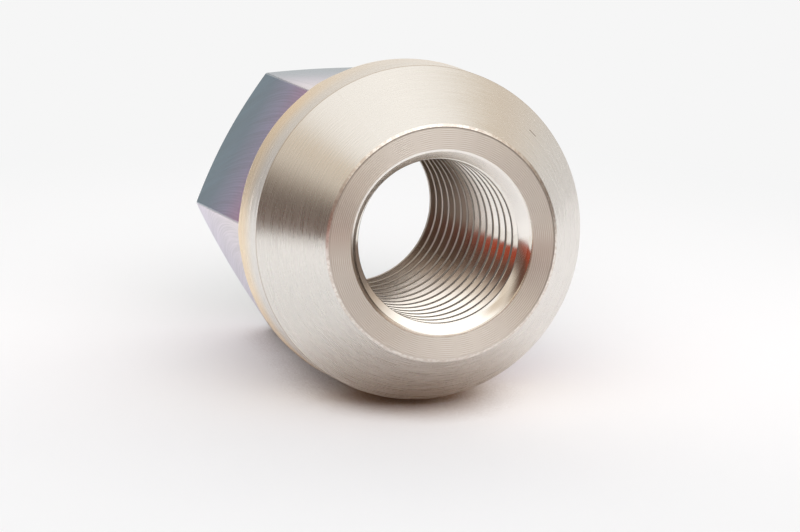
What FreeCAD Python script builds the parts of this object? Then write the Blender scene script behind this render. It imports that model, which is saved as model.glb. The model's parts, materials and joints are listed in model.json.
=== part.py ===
import FreeCAD, Part
import math
import os
import Sketcher

# Open-ended wheel nut, turned and milled from one titanium bar.
# The nut is drawn on its own axis: Z runs from the face at the seat end to the hexagon's end,
# and one flat of the hexagon faces +Y. Its placement then lays it on the ground on that flat.

doc = FreeCAD.newDocument("wheel_nut")

# Driving sizes in millimetres and degrees
SIZES = [
    ("across_flats", 17.0, "hexagon, flat to flat"),
    ("overall_length", 27.0, "seat-end face to hexagon end"),
    ("collar_diameter", 21.7, "round collar behind the seat"),
    ("collar_length", 5.0, "large end of the seat to the back of the collar"),
    ("collar_rear_radius", 0.8, "rounding at the back of the collar"),
    ("seat_length", 5.6, "conical seat, measured along the axis"),
    ("seat_half_angle", 30.0, "seat cone to the axis"),
    ("seat_edge_break", 0.2, "edge between the seat and the face"),
    ("thread_minor_diameter", 10.5, "M12 x 1.5 tapping bore"),
    ("lead_in_diameter", 11.9, "countersink at the face"),
    ("lead_in_half_angle", 45.0, "countersink to the axis"),
    ("thread_end", 22.1, "face to the end of the thread"),
    ("relief_diameter", 14.0, "clearance bore in the hexagon end"),
    ("relief_half_angle", 45.0, "shoulder between thread and clearance bore"),
    ("relief_edge_break", 0.3, "mouth of the clearance bore"),
    ("end_face_diameter", 16.8, "flat ring left by the turned chamfer"),
    ("end_chamfer_angle", 45.0, "turned chamfer to the end face"),
]

sheet = doc.addObject("Spreadsheet::Sheet", "Sizes")
for row, (alias, value, meaning) in enumerate(SIZES, start=1):
    sheet.set(f"A{row}", alias)
    sheet.set(f"B{row}", str(value))
    sheet.set(f"C{row}", meaning)
    sheet.setAlias(f"B{row}", alias)
doc.recompute()

# Sizes that follow from the driving ones, as expressions on the sheet
COLLAR_RADIUS = "Sizes.collar_diameter / 2"
COLLAR_BACK = "Sizes.seat_length + Sizes.collar_length"
FACE_RADIUS = "Sizes.collar_diameter / 2 - Sizes.seat_length * tan(Sizes.seat_half_angle)"
BORE_RADIUS = "Sizes.thread_minor_diameter / 2"
LEAD_IN_RADIUS = "Sizes.lead_in_diameter / 2"
LEAD_IN_DEPTH = (
    "(Sizes.lead_in_diameter - Sizes.thread_minor_diameter) / 2 / tan(Sizes.lead_in_half_angle)"
)
RELIEF_RADIUS = "Sizes.relief_diameter / 2"
RELIEF_START = (
    "Sizes.thread_end + (Sizes.relief_diameter - Sizes.thread_minor_diameter) / 2"
    " / tan(Sizes.relief_half_angle)"
)
END_FACE_RADIUS = "Sizes.end_face_diameter / 2"
CORNER_RADIUS = "Sizes.across_flats / sqrt(3)"
TOOL_OVERRUN = "1"
CHAMFER_OUTER_RADIUS = f"{CORNER_RADIUS} + {TOOL_OVERRUN}"
CHAMFER_LOW = (
    f"Sizes.overall_length - ({CHAMFER_OUTER_RADIUS} - {END_FACE_RADIUS})"
    " * tan(Sizes.end_chamfer_angle)"
)
ON_AXIS = None

EDGE_TOLERANCE = 0.001
SMALLEST_CUT = 0.5


def origin_plane(body, role):
    """The body's own origin plane with this role."""
    for feature in body.Origin.OriginFeatures:
        if feature.Role == role:
            return feature
    raise RuntimeError(f"no origin plane {role}")


def new_sketch(body, name, role):
    """An empty sketch on one of the body's origin planes."""
    sketch = body.newObject("Sketcher::SketchObject", name)
    sketch.AttachmentSupport = [(origin_plane(body, role), "")]
    sketch.MapMode = "FlatFace"
    return sketch


def value_of(sketch, expression):
    """The number that an expression gives now."""
    if expression is ON_AXIS:
        return 0.0
    return float(sketch.evalExpression(expression))


def fix_point(sketch, line, name, across, along):
    """Fix the start of a line at a distance across and along the sketch's axes."""
    start = 1
    horizontal_axis = -1
    vertical_axis = -2
    for kind, expression, axis in (
        ("DistanceX", across, vertical_axis),
        ("DistanceY", along, horizontal_axis),
    ):
        if expression is ON_AXIS:
            sketch.addConstraint(Sketcher.Constraint("PointOnObject", line, start, axis))
            continue
        size = value_of(sketch, expression)
        index = sketch.addConstraint(Sketcher.Constraint(kind, -1, 1, line, start, size))
        label = f"{name}_{kind[-1].lower()}"
        sketch.renameConstraint(index, label)
        sketch.setExpression(f"Constraints.{label}", expression)


def closed_outline(sketch, points):
    """A closed outline of straight lines through named points given as expressions."""
    places = []
    for _, across, along in points:
        places.append(FreeCAD.Vector(value_of(sketch, across), value_of(sketch, along), 0))
    count = len(places)
    for i in range(count):
        sketch.addGeometry(Part.LineSegment(places[i], places[(i + 1) % count]), False)
    for i in range(count):
        sketch.addConstraint(Sketcher.Constraint("Coincident", i, 2, (i + 1) % count, 1))
    for i, (name, across, along) in enumerate(points):
        fix_point(sketch, i, name, across, along)


def turned(body, kind, name, points):
    """A revolution or groove about the nut's axis, from an outline of radius and depth."""
    sketch = new_sketch(body, f"{name}_outline", "XZ_Plane")
    closed_outline(sketch, points)
    feature = body.newObject(kind, name)
    feature.Profile = sketch
    feature.ReferenceAxis = (sketch, ["V_Axis"])
    feature.Angle = 360.0
    sketch.Visibility = False
    return feature


def hexagon(body):
    """The hexagon bar, from the large end of the seat to the end of the nut."""
    sketch = new_sketch(body, "hexagon_outline", "XY_Plane")
    sketch.setExpression(".AttachmentOffset.Base.z", "Sizes.seat_length")
    radius = value_of(sketch, CORNER_RADIUS)
    sides = 6
    corners = []
    for i in range(sides):
        angle = math.radians(60 * i)
        corners.append(FreeCAD.Vector(radius * math.cos(angle), radius * math.sin(angle), 0))
    for i in range(sides):
        sketch.addGeometry(Part.LineSegment(corners[i], corners[(i + 1) % sides]), False)
    circle = Part.Circle(FreeCAD.Vector(0, 0, 0), FreeCAD.Vector(0, 0, 1), radius)
    ring = sketch.addGeometry(circle, True)
    sketch.addConstraint(Sketcher.Constraint("Coincident", ring, 3, -1, 1))
    for i in range(sides):
        sketch.addConstraint(Sketcher.Constraint("Coincident", i, 2, (i + 1) % sides, 1))
        sketch.addConstraint(Sketcher.Constraint("PointOnObject", i, 1, ring))
    for i in range(1, sides):
        sketch.addConstraint(Sketcher.Constraint("Equal", 0, i))
    flat_facing_y = 1
    sketch.addConstraint(Sketcher.Constraint("Horizontal", flat_facing_y))
    half_flats = value_of(sketch, "Sizes.across_flats / 2")
    index = sketch.addConstraint(
        Sketcher.Constraint("DistanceY", -1, 1, flat_facing_y, 1, half_flats)
    )
    sketch.renameConstraint(index, "half_across_flats")
    sketch.setExpression("Constraints.half_across_flats", "Sizes.across_flats / 2")
    pad = body.newObject("PartDesign::Pad", "hexagon")
    pad.Profile = sketch
    pad.setExpression("Length", "Sizes.overall_length - Sizes.seat_length")
    sketch.Visibility = False
    return pad


def circle_edge(shape, radius, depth):
    """The name of the round edge with this radius at this depth on the axis."""
    for i, edge in enumerate(shape.Edges, start=1):
        if edge.Curve.TypeId != "Part::GeomCircle":
            continue
        same_radius = abs(edge.Curve.Radius - radius) < EDGE_TOLERANCE
        same_depth = abs(edge.Curve.Center.z - depth) < EDGE_TOLERANCE
        if same_radius and same_depth:
            return f"Edge{i}"
    raise RuntimeError(f"no round edge of radius {radius} at depth {depth}")


def dress_edge(body, kind, name, size_property, size_alias, radius, depth):
    """A fillet or chamfer on one round edge of the body so far."""
    doc.recompute()
    base = body.Tip
    feature = body.newObject(kind, name)
    feature.Base = (base, [circle_edge(base.Shape, radius, depth)])
    feature.setExpression(size_property, f"Sizes.{size_alias}")
    return feature


def checked_cut(body, feature_builder):
    """Build a feature that removes metal, and see that it did."""
    doc.recompute()
    before = body.Shape.Volume
    feature = feature_builder()
    doc.recompute()
    removed = before - body.Shape.Volume
    if removed < SMALLEST_CUT:
        raise RuntimeError(f"{feature.Name} removes {removed:.3f} cubic millimetres")
    return feature


def seat_and_collar(body):
    """The turned head: flat face, conical seat and round collar."""
    return turned(body, "PartDesign::Revolution", "seat_and_collar", [
        ("face_centre", ON_AXIS, ON_AXIS),
        ("face_rim", FACE_RADIUS, ON_AXIS),
        ("seat_large_end", COLLAR_RADIUS, "Sizes.seat_length"),
        ("collar_rear_edge", COLLAR_RADIUS, COLLAR_BACK),
        ("collar_back_centre", ON_AXIS, COLLAR_BACK),
    ])


def end_chamfer(body):
    """The turned chamfer that rounds off the corners at the hexagon's end."""
    return turned(body, "PartDesign::Groove", "end_chamfer", [
        ("face_ring", END_FACE_RADIUS, "Sizes.overall_length"),
        ("outer_low", CHAMFER_OUTER_RADIUS, CHAMFER_LOW),
        ("outer_high", CHAMFER_OUTER_RADIUS, "Sizes.overall_length"),
    ])


def stud_bore(body):
    """The bore from end to end: countersink, thread bore, shoulder and clearance bore."""
    return turned(body, "PartDesign::Groove", "stud_bore", [
        ("mouth_centre", ON_AXIS, ON_AXIS),
        ("mouth_rim", LEAD_IN_RADIUS, ON_AXIS),
        ("thread_start", BORE_RADIUS, LEAD_IN_DEPTH),
        ("thread_finish", BORE_RADIUS, "Sizes.thread_end"),
        ("relief_start", RELIEF_RADIUS, RELIEF_START),
        ("relief_mouth", RELIEF_RADIUS, "Sizes.overall_length"),
        ("end_centre", ON_AXIS, "Sizes.overall_length"),
    ])


def lying_placement(body):
    """The nut at rest on the ground, on the back of its collar and the end of one flat.

    The ground touches the rounding of the collar and the middle of the flat's far edge. The seat
    end faces -Y and is a little raised. The origin is under the middle of the nut's box.
    """
    rounding = sheet.collar_rear_radius
    centre_radius = sheet.collar_diameter / 2 - rounding
    centre_depth = sheet.seat_length + sheet.collar_length - rounding
    flat_radius = sheet.across_flats / 2
    chamfer_width = max(0.0, flat_radius - sheet.end_face_diameter / 2)
    chamfer_slope = math.tan(math.radians(sheet.end_chamfer_angle))
    flat_end = sheet.overall_length - chamfer_width * chamfer_slope
    rise = centre_radius - flat_radius
    run = flat_end - centre_depth
    tilt = math.atan2(rise, run) + math.asin(rounding / math.hypot(rise, run))
    height = rounding + centre_radius * math.cos(tilt) + centre_depth * math.sin(tilt)
    turn = FreeCAD.Rotation(FreeCAD.Vector(1, 0, 0), -90 - math.degrees(tilt))
    body.Placement = FreeCAD.Placement(FreeCAD.Vector(0, 0, height), turn)
    doc.recompute()
    box = body.Shape.optimalBoundingBox(False, False)
    middle_y = (box.YMin + box.YMax) / 2
    return FreeCAD.Placement(FreeCAD.Vector(0, -middle_y, height), turn)


def build_nut():
    """The whole nut as one body."""
    body = doc.addObject("PartDesign::Body", "lug_nut")
    body.Label = "lug_nut"
    seat_and_collar(body)
    doc.recompute()
    hexagon(body)
    checked_cut(body, lambda: end_chamfer(body))
    checked_cut(body, lambda: stud_bore(body))
    face_radius = value_of(body, FACE_RADIUS)
    collar_radius = value_of(body, COLLAR_RADIUS)
    collar_back = value_of(body, COLLAR_BACK)
    relief_radius = value_of(body, RELIEF_RADIUS)
    dress_edge(body, "PartDesign::Chamfer", "seat_edge", "Size", "seat_edge_break",
               face_radius, 0.0)
    dress_edge(body, "PartDesign::Fillet", "collar_rear", "Radius", "collar_rear_radius",
               collar_radius, collar_back)
    dress_edge(body, "PartDesign::Chamfer", "relief_edge", "Size", "relief_edge_break",
               relief_radius, sheet.overall_length)
    doc.recompute()
    body.Placement = lying_placement(body)
    doc.recompute()
    return body


def check_document():
    """Stop if any object failed to build."""
    for item in doc.Objects:
        if "Invalid" in item.State or "Error" in item.State:
            raise RuntimeError(f"{item.Name} failed: {item.State}")


def export_part(body):
    """Write the body's one solid to its STEP file."""
    shape = body.Shape
    if shape.isNull() or not shape.isValid() or len(shape.Solids) != 1:
        raise RuntimeError(f"{body.Label} is not one valid solid")
    shape.exportStep(f"parts/{body.Label}.step")


os.makedirs("parts", exist_ok=True)
nut = build_nut()
check_document()
export_part(nut)
limits = nut.Shape.optimalBoundingBox(False, False)
print(f"volume {nut.Shape.Volume:.2f} mm3, size {limits.XLength:.3f} x {limits.YLength:.3f}"
      f" x {limits.ZLength:.3f} mm, lowest point {limits.ZMin:.4f} mm")
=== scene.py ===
import json
import math

import bmesh
import bpy
from mathutils import Matrix, Vector


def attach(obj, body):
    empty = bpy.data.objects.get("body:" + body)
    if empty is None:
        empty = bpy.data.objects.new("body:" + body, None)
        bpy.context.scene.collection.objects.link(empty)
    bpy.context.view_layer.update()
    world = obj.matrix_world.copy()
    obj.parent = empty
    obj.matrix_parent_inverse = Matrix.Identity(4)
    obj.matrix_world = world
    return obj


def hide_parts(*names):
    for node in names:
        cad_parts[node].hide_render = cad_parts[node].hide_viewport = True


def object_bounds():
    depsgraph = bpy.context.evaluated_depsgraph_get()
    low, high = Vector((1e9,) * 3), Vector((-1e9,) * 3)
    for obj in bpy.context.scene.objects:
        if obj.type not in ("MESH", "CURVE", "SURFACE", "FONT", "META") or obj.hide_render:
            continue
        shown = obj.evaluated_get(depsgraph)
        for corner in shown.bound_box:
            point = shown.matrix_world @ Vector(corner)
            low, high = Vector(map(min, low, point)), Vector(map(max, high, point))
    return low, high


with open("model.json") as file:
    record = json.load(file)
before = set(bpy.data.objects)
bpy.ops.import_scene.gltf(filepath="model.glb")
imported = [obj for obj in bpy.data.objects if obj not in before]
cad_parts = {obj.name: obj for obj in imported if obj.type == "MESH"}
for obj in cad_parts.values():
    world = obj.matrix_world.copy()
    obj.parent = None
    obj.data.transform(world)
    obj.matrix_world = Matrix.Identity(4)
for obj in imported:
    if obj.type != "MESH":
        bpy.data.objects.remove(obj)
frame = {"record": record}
cad_low, cad_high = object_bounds()

# Open-ended wheel nut in titanium: turned seat and collar, tapped bore, colour-anodised hexagon.
# Lengths are in millimetres on the nut's own axis: depth runs from the face at the seat end to the
# end of the hexagon, and one flat of the hexagon faces +Y, which points to the ground.

MM = 0.001


# Where the nut lies

def mount_of(name):
    """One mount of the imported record."""
    for mount in frame["record"]["mounts"]:
        if mount["name"] == name:
            return mount
    raise ValueError(f"no mount named {name}")


TOWARDS_HEX = Vector(mount_of("hex_end_face")["axis"]).normalized()
THREAD_MIDDLE = Vector(mount_of("stud_thread")["pos_m"])


def on_axis(mount_name):
    """The point of the nut's axis beside a mount."""
    place = Vector(mount_of(mount_name)["pos_m"])
    return THREAD_MIDDLE + TOWARDS_HEX * (place - THREAD_MIDDLE).dot(TOWARDS_HEX)


FACE_CENTRE = on_axis("seat_end_face")
NUT_TURN = -(math.atan2(-TOWARDS_HEX.y, -TOWARDS_HEX.z) + math.pi)
NUT_TO_FRAME = (
    Matrix.Translation(FACE_CENTRE) @ Matrix.Rotation(NUT_TURN, 4, "X") @ Matrix.Scale(MM, 4)
)

# Sizes of the nut in millimetres
LENGTH = (on_axis("hex_end_face") - FACE_CENTRE).length / MM
COLLAR_RADIUS = (cad_high.x - cad_low.x) / 2 / MM
ACROSS_FLATS = 17.0
SEAT_LENGTH = 5.6
SEAT_HALF_ANGLE = math.radians(30)
COLLAR_BACK = SEAT_LENGTH + 5.0
COLLAR_REAR_ROUND = 0.8
FACE_RADIUS = COLLAR_RADIUS - SEAT_LENGTH * math.tan(SEAT_HALF_ANGLE)
SEAT_EDGE_BREAK = 0.12
THREAD_MINOR = mount_of("stud_thread")["dims"]["r_mm"]
THREAD_MAJOR = 6.0
THREAD_PITCH = 1.5
THREAD_HALF_LENGTH = mount_of("stud_thread")["dims"]["length_mm"] / 2
THREAD_END = (THREAD_MIDDLE - FACE_CENTRE).length / MM + THREAD_HALF_LENGTH
COUNTERSINK_RADIUS = 5.95
COUNTERSINK_DEPTH = (THREAD_MIDDLE - FACE_CENTRE).length / MM - THREAD_HALF_LENGTH
RELIEF_RADIUS = mount_of("stud_relief")["dims"]["r_mm"]
RELIEF_START = THREAD_END + RELIEF_RADIUS - THREAD_MINOR
RELIEF_EDGE_BREAK = 0.3
END_FACE_RADIUS = 8.4
HEX_CORNER_ROUND = 0.16

# A short scratch on the seat: where it is, in degrees above the right and in depth, and its size
SCRATCH_TURN = 42.5
SCRATCH_DEPTH = 3.3
SCRATCH_HALF_TURN = 1.812
SCRATCH_HALF_WIDTH = 0.05

# Directions across the nut, with +Y to the ground
LOWER_LEFT_FLAT = (-math.cos(math.pi / 6), 0.5, 0.0)
LEFT_OF_BORE = (-0.94, 0.34, 0.0)
TOP_OF_FACE = (0.35, -0.94, 0.0)

# Light that falls on the paper: from all round, from the front, and from low behind
ROUND_LIGHT = (0.27, 0.33, 0.36)
FRONT_LIGHT = (3.25, 2.95, 3.0)
BACK_LIGHT = (6.3, 5.85, 5.6)
TO_FRONT = (-0.05, -1.0, 0.0)
TO_BACK = (0.33, 0.94, 0.0)
BACKGROUND_WHITE = "#F6F6F6"

# What the nut mirrors in front of it, in degrees round to the right of straight in front
DIM_SIDE_AZIMUTH = -18.0
TABLE_EDGE_AZIMUTH = -42.0
WALL_AZIMUTH = 14.0

# Finishes, in the order of the material slots
TURNED, FACED, DEBURRED, TAPPED, BORED, SUNK, ANODISED = range(7)


# Colour and node helpers

def linear(code, alpha=1.0):
    """An sRGB hex colour as linear values."""
    channels = [int(code[i:i + 2], 16) / 255 for i in (1, 3, 5)]
    return tuple(c / 12.92 if c <= 0.04045 else ((c + 0.055) / 1.055) ** 2.4
                 for c in channels) + (alpha,)


def add(tree, kind, inputs=None, **settings):
    """Add a node, set its properties, and fill its inputs with values or links."""
    made = tree.nodes.new(kind)
    for name, value in settings.items():
        setattr(made, name, value)
    for key, value in (inputs or {}).items():
        if isinstance(value, bpy.types.NodeSocket):
            tree.links.new(value, made.inputs[key])
        else:
            made.inputs[key].default_value = value
    return made


def fill_ramp(ramp, stops):
    """Give a colour ramp its stops of (position, colour)."""
    elements = ramp.color_ramp.elements
    while len(elements) < len(stops):
        elements.new(0.5)
    for element, (position, code) in zip(elements, stops):
        element.position = position
        element.color = linear(code)


# The body of the nut

def hexagon_radius(angle):
    """Distance from the axis to the hexagon at an angle, with its six corners a little rounded."""
    off = (angle + math.pi / 6) % (math.pi / 3) - math.pi / 6
    centre = (ACROSS_FLATS / 2 - HEX_CORNER_ROUND) / math.cos(math.pi / 6)
    round_half = math.atan2(
        HEX_CORNER_ROUND * 0.5, centre + HEX_CORNER_ROUND * math.cos(math.pi / 6)
    )
    if abs(off) < round_half:
        reach = math.sqrt(HEX_CORNER_ROUND ** 2 - (centre * math.sin(off)) ** 2)
        return centre * math.cos(off) + reach
    return ACROSS_FLATS / 2 / math.cos(math.pi / 6 - abs(off))


def rounded(corners):
    """A closed outline whose corners (radius, depth, rounding, steps, finish) become arcs."""
    outline = []
    count = len(corners)
    for i, (radius, depth, rounding, steps, finish) in enumerate(corners):
        here = Vector((radius, depth))
        back = Vector(corners[i - 1][:2]) - here
        ahead = Vector(corners[(i + 1) % count][:2]) - here
        if rounding == 0:
            outline.append((radius, depth, finish))
            continue
        half = back.angle(ahead) / 2
        run = min(rounding / math.tan(half), 0.45 * back.length, 0.45 * ahead.length)
        arc_radius = run * math.tan(half)
        middle = here + (back.normalized() + ahead.normalized()).normalized() * (
            arc_radius / math.sin(half)
        )
        start = here + back.normalized() * run - middle
        end = here + ahead.normalized() * run - middle
        sweep = start.angle_signed(end)
        for k in range(steps + 1):
            turn = Matrix.Rotation(-sweep * k / steps, 2)
            point = middle + turn @ start
            outline.append((point.x, point.y, finish))
    return outline


def nut_outline(flank):
    """Section of the nut through its axis where the hexagon stands this far from the axis."""
    chamfer_start = LENGTH - (flank - END_FACE_RADIUS)
    lip = 0.1
    return rounded([
        (COUNTERSINK_RADIUS + lip, 0.0, 0.03, 2, FACED),
        (FACE_RADIUS - SEAT_EDGE_BREAK, 0.0, 0.03, 2, DEBURRED),
        (FACE_RADIUS + SEAT_EDGE_BREAK * math.sin(SEAT_HALF_ANGLE),
         SEAT_EDGE_BREAK * math.cos(SEAT_HALF_ANGLE), 0.05, 2, TURNED),
        (COLLAR_RADIUS, SEAT_LENGTH, 0.07, 3, TURNED),
        (COLLAR_RADIUS, COLLAR_BACK, COLLAR_REAR_ROUND, 10, TURNED),
        (flank, COLLAR_BACK, 0.12, 2, ANODISED),
        (flank, chamfer_start, 0.12, 2, ANODISED),
        (END_FACE_RADIUS, LENGTH, 0.12, 2, ANODISED),
        (RELIEF_RADIUS + RELIEF_EDGE_BREAK, LENGTH, 0.05, 2, BORED),
        (RELIEF_RADIUS, LENGTH - RELIEF_EDGE_BREAK, 0.05, 2, BORED),
        (RELIEF_RADIUS, RELIEF_START, 0.15, 3, BORED),
        (THREAD_MINOR, THREAD_END, 0.0, 0, BORED),
        (THREAD_MINOR, COUNTERSINK_DEPTH, 0.0, 0, SUNK),
        (COUNTERSINK_RADIUS - lip / 2, lip / 2, 0.03, 2, SUNK),
    ])


def column_angles():
    """Angles of the mesh columns: even, with a close group at each corner of the hexagon."""
    even = 240
    angles = {round(2 * math.pi * i / even, 9) for i in range(even)}
    for corner in range(6):
        for step in (-0.51, -0.34, -0.17, 0.17, 0.34, 0.51):
            angle = math.radians(60 * corner + step) % (2 * math.pi)
            angles.add(round(angle, 9))
    return sorted(angles)


def mesh_from(name, points, faces, finishes):
    """A mesh object from points, faces and a finish for each face."""
    mesh = bpy.data.meshes.new(name)
    mesh.from_pydata(points, [], faces)
    for material in FINISHES:
        mesh.materials.append(material)
    mesh.polygons.foreach_set("material_index", finishes)
    made = bpy.data.objects.new(name, mesh)
    bpy.context.scene.collection.objects.link(made)
    return made


def turned_and_milled_body():
    """The nut before tapping, as one closed mesh swept round the axis."""
    points, faces, finishes = [], [], []
    angles = column_angles()
    sections = [nut_outline(hexagon_radius(angle)) for angle in angles]
    size = len(sections[0])
    for angle, section in zip(angles, sections):
        for radius, depth, _ in section:
            points.append((radius * math.cos(angle), radius * math.sin(angle), depth))
    columns = len(angles)
    for j in range(columns):
        ahead = (j + 1) % columns
        for i in range(size):
            after = (i + 1) % size
            faces.append((j * size + i, j * size + after, ahead * size + after, ahead * size + i))
            finishes.append(sections[j][i][2])
    return mesh_from("nut_body", points, faces, finishes)


def tap():
    """A closed right-hand thread form, which cuts the grooves of the thread."""
    columns = 240
    root_half = THREAD_PITCH / 32
    root_round = 0.03
    crest_break = 0.03
    crest_half = 0.2
    core = THREAD_MINOR - 0.25
    gap_half = 0.01

    def side(degrees):
        """One side of the groove, from the core out, as (radius, half width)."""
        slope = math.tan(math.radians(degrees))
        at_minor = THREAD_PITCH / 2 - crest_half
        near_root = THREAD_MAJOR - root_round
        return [
            (core, THREAD_PITCH / 2 - gap_half),
            (THREAD_MINOR, at_minor + crest_break * 0.75),
            (THREAD_MINOR + crest_break, at_minor - crest_break * slope),
            (near_root, at_minor - (near_root - THREAD_MINOR) * slope),
            (THREAD_MAJOR, root_half),
        ]

    # The flank that faces out of the bore is drawn at 24 degrees and not at 30, because the
    # reflections in the photograph reach that deep into the bore.
    profile = [(radius, THREAD_PITCH / 2 - half) for radius, half in side(30)]
    profile += [(radius, THREAD_PITCH / 2 + half) for radius, half in reversed(side(24))]
    size = len(profile)
    first_depth = -1.6 * THREAD_PITCH
    turns = math.ceil((RELIEF_START + THREAD_PITCH - first_depth) / THREAD_PITCH)
    points, faces = [], []
    for step in range(turns * columns + 1):
        angle = 2 * math.pi * (step + 0.5) / columns
        depth = first_depth + THREAD_PITCH * step / columns
        for radius, along in profile:
            points.append((radius * math.cos(angle), radius * math.sin(angle), depth + along))
    last = turns * columns
    for step in range(last):
        for i in range(size - 1):
            a = step * size + i
            faces.append((a, a + size, a + size + 1, a + 1))
    for step in range(last - columns + 1):
        a = step * size + size - 1
        b = (step + columns) * size
        if step < last - columns:
            faces.append((a, a + size, b + size, b))
    start_centre = len(points)
    points.append((0, 0, first_depth + THREAD_PITCH / 2))
    end_centre = len(points)
    points.append((0, 0, first_depth + THREAD_PITCH * (turns + 0.5)))
    start_loop = [step * size for step in range(columns + 1)]
    start_loop += list(range(size - 1, 0, -1))
    for i, index in enumerate(start_loop):
        faces.append((start_centre, index, start_loop[(i + 1) % len(start_loop)]))
    end_loop = [(last - columns + step) * size + size - 1 for step in range(columns + 1)]
    end_loop += [last * size + i for i in range(size - 2, -1, -1)]
    for i, index in enumerate(end_loop):
        faces.append((end_centre, end_loop[(i + 1) % len(end_loop)], index))
    return mesh_from("tap", points, faces, [TAPPED] * len(faces))


def point_outward(thing):
    """Point all faces of a closed mesh outward."""
    shell = bmesh.new()
    shell.from_mesh(thing.data)
    bmesh.ops.recalc_face_normals(shell, faces=shell.faces)
    shell.to_mesh(thing.data)
    shell.free()


def wheel_nut():
    """The whole nut, tapped, shaded and laid where the frame says."""
    # The break at a thread's crest turns by 27 degrees and has to stay sharp.
    sharp_from = math.radians(25)
    body = turned_and_milled_body()
    cutter = tap()
    point_outward(body)
    point_outward(cutter)
    cut = body.modifiers.new("tapping", "BOOLEAN")
    cut.operation = "DIFFERENCE"
    cut.solver = "MANIFOLD"
    cut.material_mode = "INDEX"
    cut.object = cutter
    bpy.context.view_layer.update()
    tapped = bpy.data.meshes.new_from_object(
        body.evaluated_get(bpy.context.evaluated_depsgraph_get())
    )
    tapped.name = "wheel_nut"
    nut = bpy.data.objects.new("wheel_nut", tapped)
    bpy.context.scene.collection.objects.link(nut)
    bpy.data.objects.remove(body)
    bpy.data.objects.remove(cutter)
    tapped.transform(NUT_TO_FRAME)
    tapped.shade_smooth()
    tapped.set_sharp_from_angle(angle=sharp_from)
    point_outward(nut)
    even = nut.modifiers.new("flat_faces_stay_flat", "WEIGHTED_NORMAL")
    even.keep_sharp = True
    return nut


# Patterns on the nut's own axis

def nut_place(tree):
    """Where each point is on the nut, in millimetres, and its ways out, down and round."""
    here = add(tree, "ShaderNodeTexCoord").outputs["Object"]
    place = add(tree, "ShaderNodeMapping", {
        "Vector": here, "Location": FACE_CENTRE, "Rotation": (NUT_TURN, 0, 0),
        "Scale": (MM, MM, MM),
    }, vector_type="TEXTURE").outputs["Vector"]
    split = add(tree, "ShaderNodeSeparateXYZ", {"Vector": place}).outputs
    flat_place = add(tree, "ShaderNodeVectorMath", {0: place, 1: (1, 1, 0)},
                     operation="MULTIPLY").outputs["Vector"]
    radius = add(tree, "ShaderNodeVectorMath", {0: flat_place}, operation="LENGTH").outputs["Value"]
    out = add(tree, "ShaderNodeVectorMath", {0: flat_place}, operation="NORMALIZE").outputs["Vector"]
    downward = add(tree, "ShaderNodeSeparateXYZ", {"Vector": out}).outputs["Y"]
    round_way = add(tree, "ShaderNodeVectorMath", {0: (0, 0, 1), 1: out},
                    operation="CROSS_PRODUCT").outputs["Vector"]
    tangent = add(tree, "ShaderNodeMapping", {"Vector": round_way, "Rotation": (NUT_TURN, 0, 0)},
                  vector_type="VECTOR").outputs["Vector"]
    return {"place": place, "x": split["X"], "y": split["Y"], "depth": split["Z"],
            "radius": radius, "out": out, "downward": downward, "tangent": tangent}


def across_marks(tree, at, spacing, round_length):
    """Streaks that run round the axis, this far apart and this long, as a height from 0 to 1."""
    usual_radius = 10.0
    along = add(tree, "ShaderNodeMath", {0: at["radius"], 1: at["depth"]}, operation="ADD")
    scaled = add(tree, "ShaderNodeMath", {0: along.outputs[0], 1: 1 / spacing},
                 operation="MULTIPLY")
    round_part = add(tree, "ShaderNodeVectorMath", {0: at["out"], "Scale": usual_radius / round_length},
                     operation="SCALE")
    along_part = add(tree, "ShaderNodeCombineXYZ", {"Z": scaled.outputs[0]})
    where = add(tree, "ShaderNodeVectorMath",
                {0: round_part.outputs["Vector"], 1: along_part.outputs["Vector"]},
                operation="ADD")
    return add(tree, "ShaderNodeTexNoise", {
        "Vector": where.outputs["Vector"], "Scale": 1.0, "Detail": 2.0, "Roughness": 0.6,
    }).outputs["Fac"]


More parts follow.
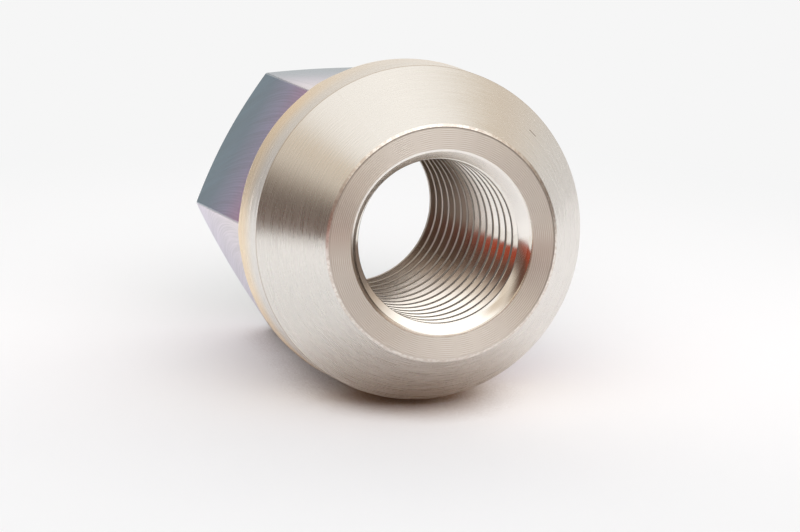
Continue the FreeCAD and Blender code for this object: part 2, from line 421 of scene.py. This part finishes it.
def milled_arcs(tree, at, spacing):
    """Arcs left by a face cutter on each flat of the hexagon, as a height from 0 to 1."""
    cutter_radius = 20.0
    cutter_path = 16.0
    turn = add(tree, "ShaderNodeMath", {0: at["y"], 1: at["x"]}, operation="ARCTAN2").outputs[0]
    flat_turn = add(tree, "ShaderNodeMath", {0: turn, 1: math.pi / 3, 2: 0.0},
                    operation="WRAP").outputs[0]
    from_middle = add(tree, "ShaderNodeMath", {0: flat_turn, 1: math.pi / 6},
                      operation="SUBTRACT").outputs[0]
    lean = add(tree, "ShaderNodeMath", {0: from_middle}, operation="TANGENT").outputs[0]
    across = add(tree, "ShaderNodeMath", {0: lean, 1: ACROSS_FLATS / 2},
                 operation="MULTIPLY").outputs[0]
    off_path = add(tree, "ShaderNodeMath", {0: at["depth"], 1: cutter_path},
                   operation="SUBTRACT").outputs[0]
    off_square = add(tree, "ShaderNodeMath", {0: off_path, 1: off_path},
                     operation="MULTIPLY").outputs[0]
    swing_square = add(tree, "ShaderNodeMath", {0: cutter_radius ** 2, 1: off_square},
                       operation="SUBTRACT").outputs[0]
    swing = add(tree, "ShaderNodeMath", {0: swing_square}, operation="SQRT").outputs[0]
    step = add(tree, "ShaderNodeMath", {0: across, 1: swing}, operation="SUBTRACT").outputs[0]
    scaled = add(tree, "ShaderNodeMath", {0: step, 1: 1 / spacing}, operation="MULTIPLY").outputs[0]
    drift = add(tree, "ShaderNodeMath", {0: off_path, 1: 0.15}, operation="MULTIPLY").outputs[0]
    where = add(tree, "ShaderNodeCombineXYZ", {"X": scaled, "Y": drift})
    uneven = add(tree, "ShaderNodeTexNoise", {
        "Vector": where.outputs["Vector"], "Scale": 1.0, "Detail": 1.0, "Roughness": 0.5,
    }).outputs["Fac"]
    phase = add(tree, "ShaderNodeMath", {0: scaled, 1: 2 * math.pi},
                operation="MULTIPLY").outputs[0]
    even = add(tree, "ShaderNodeMath", {0: phase}, operation="SINE").outputs[0]
    return add(tree, "ShaderNodeMath", {0: even, 1: 0.1, 2: uneven},
               operation="MULTIPLY_ADD").outputs[0]


def new_material(name):
    """An empty node material with its output and a metal shader."""
    material = bpy.data.materials.new(name)
    material.use_nodes = True
    tree = material.node_tree
    tree.nodes.clear()
    shader = add(tree, "ShaderNodeBsdfPrincipled", {"Metallic": 1.0})
    add(tree, "ShaderNodeOutputMaterial", {"Surface": shader.outputs["BSDF"]})
    return material, tree, shader


def stretch_across(tree, shader, at, amount):
    """Stretch a metal's reflections across the marks that run round the axis."""
    tree.links.new(at["tangent"], shader.inputs["Tangent"])
    shader.inputs["Anisotropic"].default_value = amount
    shader.inputs["Anisotropic Rotation"].default_value = 0.25


def turned_titanium():
    """Titanium, fine-turned: long hair lines round the axis stretch each reflection across them.

    The lines stand about 0.05 mm apart and are drawn 0.1 mm apart, so that they show.
    """
    material, tree, shader = new_material("turned_titanium")
    at = nut_place(tree)
    hairs = across_marks(tree, at, spacing=0.1, round_length=3.0)
    bump = add(tree, "ShaderNodeBump", {
        "Strength": 1.0, "Distance": 0.0035 * MM, "Height": hairs,
    })
    gloss = add(tree, "ShaderNodeMapRange", {
        "Value": hairs, "From Min": 0.36, "From Max": 0.64, "To Min": 0.24, "To Max": 0.34,
    })
    tree.links.new(gloss.outputs["Result"], shader.inputs["Roughness"])
    tree.links.new(bump.outputs["Normal"], shader.inputs["Normal"])
    stretch_across(tree, shader, at, 0.85)
    hair_tone = add(tree, "ShaderNodeMix", {
        "Factor": hairs, "A": linear("#DEDAD4"), "B": linear("#F2EFEA"),
    }, data_type="RGBA")
    # Painted shade: a fine grey line where the seat meets the collar
    on_edge = add(tree, "ShaderNodeMath", {0: at["depth"], 1: SEAT_LENGTH, 2: 0.045},
                  operation="COMPARE")
    edge_shaded = add(tree, "ShaderNodeMix", {
        "Factor": on_edge.outputs[0], "A": hair_tone.outputs["Result"], "B": linear("#C9BEB2"),
    }, data_type="RGBA")
    # The short scratch on the seat
    scratch_turn = math.radians(-SCRATCH_TURN)
    beside = add(tree, "ShaderNodeVectorMath", {
        0: at["out"], 1: (math.cos(scratch_turn), math.sin(scratch_turn), 0.0),
    }, operation="DOT_PRODUCT").outputs["Value"]
    on_turn = add(tree, "ShaderNodeMath", {
        0: beside, 1: math.cos(math.radians(SCRATCH_HALF_TURN)),
    }, operation="GREATER_THAN")
    on_depth = add(tree, "ShaderNodeMath", {
        0: at["depth"], 1: SCRATCH_DEPTH, 2: SCRATCH_HALF_WIDTH,
    }, operation="COMPARE")
    scratch = add(tree, "ShaderNodeMath", {0: on_turn.outputs[0], 1: on_depth.outputs[0]},
                  operation="MULTIPLY")
    scratched = add(tree, "ShaderNodeMix", {
        "Factor": scratch.outputs[0], "A": edge_shaded.outputs["Result"], "B": linear("#9A8D83"),
    }, data_type="RGBA")
    # A straw tint towards the collar's back, which fades at the top
    most_straw = add(tree, "ShaderNodeMapRange", {
        "Value": at["downward"], "From Min": -0.75, "From Max": -1.0, "To Min": 1.0, "To Max": 0.1,
    })
    straw = add(tree, "ShaderNodeMapRange", {
        "Value": at["depth"], "From Min": SEAT_LENGTH + 0.8, "From Max": COLLAR_BACK - 1.2,
        "To Max": most_straw.outputs["Result"],
    }, interpolation_type="SMOOTHSTEP")
    colour = add(tree, "ShaderNodeMix", {
        "Factor": straw.outputs["Result"], "A": scratched.outputs["Result"],
        "B": linear("#F4E0C2"),
    }, data_type="RGBA")
    tree.links.new(colour.outputs["Result"], shader.inputs["Base Color"])
    return material


def faced_titanium():
    """Titanium, faced: even rings from the feed of the tool give a fan of light and dark.

    The rings stand 0.09 mm apart and are drawn 0.13 mm apart, so that they show. A second set
    of rings, off centre, crosses them.
    """
    material, tree, shader = new_material("faced_titanium")
    at = nut_place(tree)
    feed = 0.13
    second_centre = (0.7, 0.4, 0.0)
    ring_sets = []
    for centre in ((0.0, 0.0, 0.0), second_centre):
        off = add(tree, "ShaderNodeVectorMath", {0: at["place"], 1: centre}, operation="SUBTRACT")
        radius = add(tree, "ShaderNodeVectorMath", {0: off.outputs["Vector"]}, operation="LENGTH")
        phase = add(tree, "ShaderNodeMath", {0: radius.outputs["Value"], 1: 2 * math.pi / feed},
                    operation="MULTIPLY")
        ring_sets.append(add(tree, "ShaderNodeMath", {0: phase.outputs[0]}, operation="SINE"))
    rings = add(tree, "ShaderNodeMath", {
        0: ring_sets[0].outputs[0], 1: ring_sets[1].outputs[0],
    }, operation="ADD")
    bump = add(tree, "ShaderNodeBump", {
        "Strength": 1.0, "Distance": 0.002 * MM, "Height": rings.outputs[0],
    })
    groove = add(tree, "ShaderNodeMapRange", {
        "Value": rings.outputs[0], "From Min": -2.0, "From Max": 2.0,
    })
    tone = add(tree, "ShaderNodeMix", {
        "Factor": groove.outputs["Result"], "A": linear("#E8DDD2"), "B": linear("#FFFAF4"),
    }, data_type="RGBA")
    tree.links.new(bump.outputs["Normal"], shader.inputs["Normal"])
    # Painted shade: a fine dark ring at the rim, darkest at the top
    face_edge = FACE_RADIUS - SEAT_EDGE_BREAK
    rim = add(tree, "ShaderNodeMapRange", {
        "Value": at["radius"], "From Min": face_edge - 0.12, "From Max": face_edge - 0.05,
    })
    to_top = add(tree, "ShaderNodeVectorMath", {0: at["out"], 1: TOP_OF_FACE},
                 operation="DOT_PRODUCT")
    shade_at_top = add(tree, "ShaderNodeMapRange", {
        "Value": to_top.outputs["Value"], "From Min": -0.5, "From Max": 0.5,
        "To Min": 0.1, "To Max": 0.75,
    })
    rim_shade = add(tree, "ShaderNodeMath", {
        0: rim.outputs["Result"], 1: shade_at_top.outputs["Result"],
    }, operation="MULTIPLY")
    rim_shaded = add(tree, "ShaderNodeMix", {
        "Factor": rim_shade.outputs[0], "A": tone.outputs["Result"], "B": linear("#6E5C50"),
    }, data_type="RGBA")
    tree.links.new(rim_shaded.outputs["Result"], shader.inputs["Base Color"])
    stretch_across(tree, shader, at, 1.0)
    shader.inputs["Roughness"].default_value = 0.5
    return material


def deburred_titanium():
    """Titanium edge, broken by hand: a bright ragged line with dark specks."""
    material, tree, shader = new_material("deburred_titanium")
    at = nut_place(tree)
    nicks = add(tree, "ShaderNodeTexNoise", {
        "Vector": at["place"], "Scale": 4.0, "Detail": 3.0, "Roughness": 0.7,
    }).outputs["Fac"]
    bump = add(tree, "ShaderNodeBump", {
        "Strength": 1.0, "Distance": 0.001 * MM, "Height": nicks,
    })
    specks = add(tree, "ShaderNodeMapRange", {
        "Value": nicks, "From Min": 0.44, "From Max": 0.56,
    }, interpolation_type="SMOOTHSTEP")
    tone = add(tree, "ShaderNodeMix", {
        "Factor": specks.outputs["Result"], "A": linear("#E0D6CD"), "B": linear("#F8F3ED"),
    }, data_type="RGBA")
    # Painted shade: the edge is drawn less bright towards the ground
    shade_at_foot = add(tree, "ShaderNodeMapRange", {
        "Value": at["downward"], "From Min": -0.2, "From Max": 0.6, "To Min": 0.0, "To Max": 0.35,
    })
    shade_dimmed = add(tree, "ShaderNodeMix", {
        "Factor": shade_at_foot.outputs["Result"], "A": tone.outputs["Result"], "B": linear("#CDC0B4"),
    }, data_type="RGBA")
    tree.links.new(bump.outputs["Normal"], shader.inputs["Normal"])
    tree.links.new(shade_dimmed.outputs["Result"], shader.inputs["Base Color"])
    shader.inputs["Roughness"].default_value = 0.28
    return material


def tapped_titanium():
    """Titanium, tapped: bright flanks that mirror what is in front of the bore, a little torn."""
    material, tree, shader = new_material("tapped_titanium")
    at = nut_place(tree)
    hairs = across_marks(tree, at, spacing=0.12, round_length=2.0)
    bump = add(tree, "ShaderNodeBump", {
        "Strength": 1.0, "Distance": 0.004 * MM, "Height": hairs,
    })
    tree.links.new(bump.outputs["Normal"], shader.inputs["Normal"])
    stretch_across(tree, shader, at, 0.85)
    # Deep in the bore the turns are rougher and drawn darker as painted shade, both less so towards the
    # ground
    dull_and_shade_most = add(tree, "ShaderNodeMapRange", {
        "Value": at["downward"], "From Min": 0.5, "From Max": 1.0, "To Min": 1.0, "To Max": 0.25,
    }, interpolation_type="SMOOTHSTEP")
    deep = add(tree, "ShaderNodeMapRange", {
        "Value": at["depth"], "From Min": 6.5, "From Max": 13.0,
        "To Max": dull_and_shade_most.outputs["Result"],
    })
    gloss = add(tree, "ShaderNodeMapRange", {
        "Value": deep.outputs["Result"], "To Min": 0.13, "To Max": 0.28,
    })
    tree.links.new(gloss.outputs["Result"], shader.inputs["Roughness"])
    colour = add(tree, "ShaderNodeMix", {
        "Factor": deep.outputs["Result"], "A": linear("#F0EBE4"), "B": linear("#A29286"),
    }, data_type="RGBA")
    tree.links.new(colour.outputs["Result"], shader.inputs["Base Color"])
    return material


def bored_titanium():
    """Titanium, drilled: the crests of the thread and the clearance bore are dull and scored."""
    material, tree, shader = new_material("bored_titanium")
    at = nut_place(tree)
    hairs = across_marks(tree, at, spacing=0.1, round_length=1.5)
    bump = add(tree, "ShaderNodeBump", {
        "Strength": 1.0, "Distance": 0.012 * MM, "Height": hairs,
    })
    tree.links.new(bump.outputs["Normal"], shader.inputs["Normal"])
    stretch_across(tree, shader, at, 0.6)
    shader.inputs["Roughness"].default_value = 0.42
    # Painted light: the colour is drawn lighter deeper in the bore and darker towards its mouth
    deep = add(tree, "ShaderNodeMapRange", {
        "Value": at["depth"], "From Min": 6.0, "From Max": 15.0,
    })
    colour = add(tree, "ShaderNodeMix", {
        "Factor": deep.outputs["Result"], "A": linear("#8E837A"), "B": linear("#BDB1A6"),
    }, data_type="RGBA")
    tree.links.new(colour.outputs["Result"], shader.inputs["Base Color"])
    return material


def countersunk_titanium():
    """Titanium, countersunk: a smooth bright cone with a few turning lines."""
    material, tree, shader = new_material("countersunk_titanium")
    at = nut_place(tree)
    lines = across_marks(tree, at, spacing=0.2, round_length=60.0)
    bump = add(tree, "ShaderNodeBump", {
        "Strength": 1.0, "Distance": 0.03 * MM, "Height": lines,
    })
    tree.links.new(bump.outputs["Normal"], shader.inputs["Normal"])
    stretch_across(tree, shader, at, 0.8)
    shader.inputs["Roughness"].default_value = 0.2
    tone = add(tree, "ShaderNodeMapRange", {
        "Value": lines, "From Min": 0.4, "From Max": 0.56,
    })
    colour = add(tree, "ShaderNodeMix", {
        "Factor": tone.outputs["Result"], "A": linear("#B9ADA2"), "B": linear("#F6F2EC"),
    }, data_type="RGBA")
    # Painted shade: the cone is drawn darker on its left
    to_left = add(tree, "ShaderNodeVectorMath", {0: at["out"], 1: LEFT_OF_BORE},
                  operation="DOT_PRODUCT")
    left_shade = add(tree, "ShaderNodeMapRange", {
        "Value": to_left.outputs["Value"], "From Min": 0.82, "From Max": 0.96,
        "To Min": 0.0, "To Max": 0.75,
    }, interpolation_type="SMOOTHSTEP")
    left_shaded = add(tree, "ShaderNodeMix", {
        "Factor": left_shade.outputs["Result"], "A": colour.outputs["Result"], "B": linear("#7C7168"),
    }, data_type="RGBA")
    tree.links.new(left_shaded.outputs["Result"], shader.inputs["Base Color"])
    return material


def anodised_titanium():
    """Titanium, milled and colour-anodised: teal at the end, mauve by the collar.

    The cutter's arcs stand 0.2 mm apart.
    """
    material, tree, shader = new_material("anodised_titanium")
    at = nut_place(tree)
    along = add(tree, "ShaderNodeMapRange", {
        "Value": at["depth"], "From Min": COLLAR_BACK, "From Max": LENGTH,
    })
    ramp = add(tree, "ShaderNodeValToRGB", {"Fac": along.outputs["Result"]})
    fill_ramp(ramp, [(0.0, "#96587F"), (0.24, "#9A6C93"), (0.5, "#777293"), (0.76, "#4C687D"),
                     (1.0, "#466A7B")])

    # The lower left flat, which mirrors the bright paper behind, is drawn paler as painted light; the
    # top flat is also paler by the collar.
    within_flat = math.cos(math.pi / 6)
    lower_left = add(tree, "ShaderNodeVectorMath", {0: at["out"], 1: LOWER_LEFT_FLAT},
                     operation="DOT_PRODUCT").outputs["Value"]
    on_lower_left = add(tree, "ShaderNodeMath", {0: lower_left, 1: within_flat},
                        operation="GREATER_THAN").outputs[0]
    on_top = add(tree, "ShaderNodeMath", {0: at["downward"], 1: -within_flat},
                 operation="LESS_THAN").outputs[0]
    by_collar = add(tree, "ShaderNodeMapRange", {
        "Value": at["depth"], "From Min": 26.0, "From Max": 15.0,
    }, interpolation_type="SMOOTHSTEP").outputs["Result"]
    pale_top = add(tree, "ShaderNodeMath", {0: on_top, 1: by_collar},
                   operation="MULTIPLY").outputs[0]
    painted_pale = add(tree, "ShaderNodeMath", {0: pale_top, 1: on_lower_left},
               operation="MAXIMUM").outputs[0]
    painted_pale_tone = add(tree, "ShaderNodeMix", {
        "Factor": along.outputs["Result"], "A": linear("#E4D6D6"), "B": linear("#BDB3CA"),
    }, data_type="RGBA").outputs["Result"]
    oxide_and_painted_pale = add(tree, "ShaderNodeMix", {
        "Factor": painted_pale, "A": ramp.outputs["Color"], "B": painted_pale_tone,
    }, data_type="RGBA").outputs["Result"]

    arcs = milled_arcs(tree, at, spacing=0.2)
    lines = add(tree, "ShaderNodeMapRange", {
        "Value": arcs, "From Min": 0.35, "From Max": 0.65, "To Min": 0.88, "To Max": 1.12,
    }).outputs["Result"]
    toned = add(tree, "ShaderNodeVectorMath", {0: oxide_and_painted_pale, "Scale": lines}, operation="SCALE")
    bump = add(tree, "ShaderNodeBump", {
        "Strength": 1.0, "Distance": 0.002 * MM, "Height": arcs,
    })
    tree.links.new(bump.outputs["Normal"], shader.inputs["Normal"])
    tree.links.new(toned.outputs["Vector"], shader.inputs["Base Color"])
    shader.inputs["Roughness"].default_value = 0.17
    return material


# The studio

def paper_floor():
    """A round of white paper under the nut; it fades into the background's white."""
    reach = 115 * MM
    fade_from = 20 * MM
    fade_to = 60 * MM
    sides = 96
    ring = [(reach * math.cos(2 * math.pi * i / sides), reach * math.sin(2 * math.pi * i / sides), 0)
            for i in range(sides)]
    mesh = bpy.data.meshes.new("paper_floor")
    mesh.from_pydata(ring, [], [tuple(range(sides))])
    floor = bpy.data.objects.new("paper_floor", mesh)
    bpy.context.scene.collection.objects.link(floor)
    material = bpy.data.materials.new("white_paper")
    material.use_nodes = True
    tree = material.node_tree
    tree.nodes.clear()
    # Close to the contact the shadow is deeper and browner than soft light alone gives,
    # and wider where the nut mirrors it.
    rays = add(tree, "ShaderNodeLightPath").outputs
    openness = add(tree, "ShaderNodeAmbientOcclusion", {"Distance": 8 * MM}, samples=8)
    open_from = add(tree, "ShaderNodeMath", {0: rays["Is Glossy Ray"], 1: 0.42, 2: 0.38},
                    operation="MULTIPLY_ADD")
    lit = add(tree, "ShaderNodeMapRange", {
        "Value": openness.outputs["AO"], "From Min": 0.1, "From Max": open_from.outputs[0],
    })
    shade = add(tree, "ShaderNodeMix", {
        "Factor": lit.outputs["Result"], "A": linear("#826449"), "B": linear("#FBFAF8"),
    }, data_type="RGBA")
    matt = add(tree, "ShaderNodeBsdfDiffuse", {"Color": shade.outputs["Result"]})
    here = add(tree, "ShaderNodeTexCoord").outputs["Object"]
    distance = add(tree, "ShaderNodeVectorMath", {0: here}, operation="LENGTH").outputs["Value"]
    out = add(tree, "ShaderNodeMapRange", {
        "Value": distance, "From Min": fade_from, "From Max": fade_to,
    }, interpolation_type="SMOOTHSTEP")
    faded = add(tree, "ShaderNodeMath", {0: out.outputs["Result"], 1: rays["Is Camera Ray"]},
                operation="MULTIPLY")
    white = add(tree, "ShaderNodeEmission", {"Color": linear(BACKGROUND_WHITE)})
    mixed = add(tree, "ShaderNodeMixShader",
                {0: faded.outputs[0], 1: matt.outputs[0], 2: white.outputs[0]})
    add(tree, "ShaderNodeOutputMaterial", {"Surface": mixed.outputs[0]})
    floor.data.materials.append(material)


def sky_ramp(tree, elevation, stops):
    """Light by elevation in degrees, from stops of (elevation, colour)."""
    position = add(tree, "ShaderNodeMapRange",
                   {"Value": elevation, "From Min": -90.0, "From Max": 90.0}).outputs["Result"]
    ramp = add(tree, "ShaderNodeValToRGB", {"Fac": position})
    fill_ramp(ramp, [((degrees + 90) / 180, code) for degrees, code in stops])
    return ramp.outputs["Color"]


def mirrored_room(tree, elevation, azimuth):
    """What the nut mirrors: white paper, a soft box overhead, and a dim room in front."""
    # The dim side is centred close to the camera. The paper's horizon sinks on both sides.
    centred = add(tree, "ShaderNodeMath", {0: azimuth, 1: DIM_SIDE_AZIMUTH},
                  operation="SUBTRACT").outputs[0]
    wrapped = add(tree, "ShaderNodeMath", {0: centred, 1: 180.0, 2: -180.0},
                  operation="WRAP").outputs[0]
    left = add(tree, "ShaderNodeMapRange", {
        "Value": wrapped, "From Min": -172.0, "From Max": -93.0,
    }, interpolation_type="SMOOTHSTEP").outputs["Result"]
    right = add(tree, "ShaderNodeMapRange", {
        "Value": wrapped, "From Min": 140.0, "From Max": 93.0,
    }, interpolation_type="SMOOTHSTEP").outputs["Result"]
    dim_side = add(tree, "ShaderNodeMath", {0: left, 1: right}, operation="MINIMUM").outputs[0]
    horizon_left = add(tree, "ShaderNodeMapRange", {
        "Value": azimuth, "From Min": -74.0, "From Max": -40.0, "To Min": -5.0, "To Max": 1.2,
    }).outputs["Result"]
    horizon_right = add(tree, "ShaderNodeMapRange", {
        "Value": azimuth, "From Min": -40.0, "From Max": 10.0, "To Min": 0.0, "To Max": -3.0,
    }).outputs["Result"]
    horizon = add(tree, "ShaderNodeMath", {0: horizon_left, 1: horizon_right},
                  operation="ADD").outputs[0]
    over_horizon = add(tree, "ShaderNodeMath", {0: elevation, 1: horizon},
                       operation="SUBTRACT").outputs[0]

    room = sky_ramp(tree, over_horizon, [
        (-90, "#F6F4F1"), (-0.7, "#F6F4F1"), (0.7, "#74635A"), (18, "#736860"),
        (25, "#A6998C"), (33, "#E2D8CB"), (46, "#E2D3BF"), (52, "#FFFDFA"), (90, "#FFFDFA"),
    ])
    backdrop = sky_ramp(tree, elevation, [
        (-90, "#F4F2F0"), (0, "#F4F2F0"), (12, "#F0ECE6"), (28, "#E4D5C4"),
        (42, "#EADFCE"), (52, "#FFFDFA"), (90, "#FFFDFA"),
    ])
    # A red-brown table edge low in front, to the left
    off_edge = add(tree, "ShaderNodeMath", {0: azimuth, 1: TABLE_EDGE_AZIMUTH},
                   operation="SUBTRACT").outputs[0]
    beside_edge = add(tree, "ShaderNodeMath", {0: off_edge}, operation="ABSOLUTE").outputs[0]
    glow_side = add(tree, "ShaderNodeMapRange", {
        "Value": beside_edge,
        "From Min": 18.0, "From Max": 33.0, "To Min": 1.0, "To Max": 0.0,
    }, interpolation_type="SMOOTHSTEP").outputs["Result"]
    glow_low = add(tree, "ShaderNodeMapRange", {
        "Value": over_horizon, "From Min": 16.0, "From Max": 28.0, "To Min": 1.0, "To Max": 0.0,
    }, interpolation_type="SMOOTHSTEP").outputs["Result"]
    above = add(tree, "ShaderNodeMath", {0: over_horizon, 1: 0.3},
                operation="GREATER_THAN").outputs[0]
    low_glow = add(tree, "ShaderNodeMath", {0: glow_side, 1: glow_low},
                   operation="MULTIPLY").outputs[0]
    glow = add(tree, "ShaderNodeMath", {0: low_glow, 1: above}, operation="MULTIPLY").outputs[0]
    # A light brown wall in front, to the right, and the box reaching lower over it
    off_wall = add(tree, "ShaderNodeMath", {0: azimuth, 1: WALL_AZIMUTH},
                   operation="SUBTRACT").outputs[0]
    beside_wall = add(tree, "ShaderNodeMath", {0: off_wall}, operation="ABSOLUTE").outputs[0]
    wall_side = add(tree, "ShaderNodeMapRange", {
        "Value": beside_wall,
        "From Min": 28.0, "From Max": 48.0, "To Min": 1.0, "To Max": 0.0,
    }, interpolation_type="SMOOTHSTEP").outputs["Result"]
    wall = sky_ramp(tree, over_horizon, [
        (-90, "#F6F4F1"), (-0.7, "#F6F4F1"), (0.7, "#DECBBB"), (27, "#DECBBB"),
        (34, "#FFFDFA"), (90, "#FFFDFA"),
    ])
    room_wall = add(tree, "ShaderNodeMix", {"Factor": wall_side, "A": room, "B": wall},
                    data_type="RGBA").outputs["Result"]
    red = sky_ramp(tree, over_horizon, [
        (-90, "#A0452F"), (5, "#A0452F"), (12, "#66483C"), (90, "#5C4A40"),
    ])
    room_red = add(tree, "ShaderNodeMix", {"Factor": glow, "A": room_wall, "B": red},
                   data_type="RGBA").outputs["Result"]
    around = add(tree, "ShaderNodeMix", {"Factor": dim_side, "A": backdrop, "B": room_red},
                 data_type="RGBA").outputs["Result"]
    # The box is brighter than the white paper.
    box_light = add(tree, "ShaderNodeMapRange", {
        "Value": elevation, "From Min": 46.0, "From Max": 54.0, "To Min": 1.0, "To Max": 1.14,
    }).outputs["Result"]
    front_box = add(tree, "ShaderNodeMapRange", {
        "Value": elevation, "From Min": 28.0, "From Max": 38.0, "To Min": 0.0, "To Max": 0.45,
    }).outputs["Result"]
    brightness = add(tree, "ShaderNodeMath", {0: wall_side, 1: front_box, 2: box_light},
                     operation="MULTIPLY_ADD").outputs[0]
    return add(tree, "ShaderNodeVectorMath", {0: around, "Scale": brightness},
               operation="SCALE").outputs["Vector"]


def light_on_paper(tree, way, elevation):
    """Light mostly from the front and from low behind, so that the nut's shadow stays close."""
    facing = add(tree, "ShaderNodeVectorMath", {0: way, 1: TO_FRONT},
                 operation="DOT_PRODUCT").outputs["Value"]
    in_front = add(tree, "ShaderNodeMath", {0: facing, 1: 0.0}, operation="MAXIMUM").outputs[0]
    front_light = add(tree, "ShaderNodeMath", {0: in_front, 1: in_front},
                      operation="MULTIPLY").outputs[0]
    low = add(tree, "ShaderNodeMapRange", {
        "Value": elevation, "From Min": 42.0, "From Max": 12.0,
    }, interpolation_type="SMOOTHSTEP").outputs["Result"]
    rear = add(tree, "ShaderNodeVectorMath", {0: way, 1: TO_BACK},
               operation="DOT_PRODUCT").outputs["Value"]
    behind = add(tree, "ShaderNodeMath", {0: rear, 1: 0.0}, operation="MAXIMUM").outputs[0]
    back_light = add(tree, "ShaderNodeMath", {0: behind, 1: low}, operation="MULTIPLY").outputs[0]
    from_front = add(tree, "ShaderNodeVectorMath", {0: FRONT_LIGHT, "Scale": front_light},
                     operation="SCALE").outputs["Vector"]
    from_back = add(tree, "ShaderNodeVectorMath", {0: BACK_LIGHT, "Scale": back_light},
                    operation="SCALE").outputs["Vector"]
    directed = add(tree, "ShaderNodeVectorMath", {0: from_front, 1: from_back}).outputs["Vector"]
    return add(tree, "ShaderNodeVectorMath", {0: directed, 1: ROUND_LIGHT}).outputs["Vector"]


def studio():
    """A white surround that lights the paper and is mirrored in the nut."""
    world = bpy.data.worlds.new("studio")
    bpy.context.scene.world = world
    world.use_nodes = True
    tree = world.node_tree
    tree.nodes.clear()
    way = add(tree, "ShaderNodeTexCoord").outputs["Generated"]
    split = add(tree, "ShaderNodeSeparateXYZ", {"Vector": way}).outputs
    rise = add(tree, "ShaderNodeMath", {0: split["Z"]}, operation="ARCSINE").outputs[0]
    elevation = add(tree, "ShaderNodeMath", {0: rise}, operation="DEGREES").outputs[0]
    forward = add(tree, "ShaderNodeMath", {0: split["Y"], 1: -1.0},
                  operation="MULTIPLY").outputs[0]
    turn = add(tree, "ShaderNodeMath", {0: split["X"], 1: forward},
               operation="ARCTAN2").outputs[0]
    azimuth = add(tree, "ShaderNodeMath", {0: turn}, operation="DEGREES").outputs[0]

    mirrored = mirrored_room(tree, elevation, azimuth)
    paper_light = light_on_paper(tree, way, elevation)
    rays = add(tree, "ShaderNodeLightPath").outputs
    plain = add(tree, "ShaderNodeMix", {
        "Factor": rays["Is Glossy Ray"], "A": paper_light, "B": mirrored,
    }, data_type="RGBA").outputs["Result"]
    shown = add(tree, "ShaderNodeMix", {
        "Factor": rays["Is Camera Ray"], "A": plain, "B": linear(BACKGROUND_WHITE),
    }, data_type="RGBA").outputs["Result"]
    world.cycles.sampling_method = "NONE"
    light = add(tree, "ShaderNodeBackground", {"Color": shown, "Strength": 1.0})
    add(tree, "ShaderNodeOutputWorld", {"Surface": light.outputs[0]})


def camera():
    """A long lens a little above the nut and to its left, as in the photograph."""
    data = bpy.data.cameras.new("camera")
    data.sensor_width = 36.0
    data.lens = 355.735
    data.clip_start = 0.01
    data.clip_end = 5.0
    aim = Vector((0.681, -1.253, 7.284)) * MM
    distance = 516.854 * MM
    elevation = math.radians(15.2087)
    azimuth = math.radians(-15.7686)
    roll = math.radians(1.594)
    back = Vector((math.sin(azimuth) * math.cos(elevation),
                   -math.cos(azimuth) * math.cos(elevation), math.sin(elevation)))
    made = bpy.data.objects.new("camera", data)
    bpy.context.scene.collection.objects.link(made)
    level = (-back).to_track_quat("-Z", "Y").to_matrix().to_4x4()
    made.matrix_world = (Matrix.Translation(aim + back * distance) @ level
                         @ Matrix.Rotation(roll, 4, "Z"))
    bpy.context.scene.camera = made


camera()
FINISHES = [turned_titanium(), faced_titanium(), deburred_titanium(), tapped_titanium(),
            bored_titanium(), countersunk_titanium(), anodised_titanium()]
nut = wheel_nut()
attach(nut, "root")
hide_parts("lug_nut")
paper_floor()
studio()
bpy.context.scene.view_settings.view_transform = "Standard"
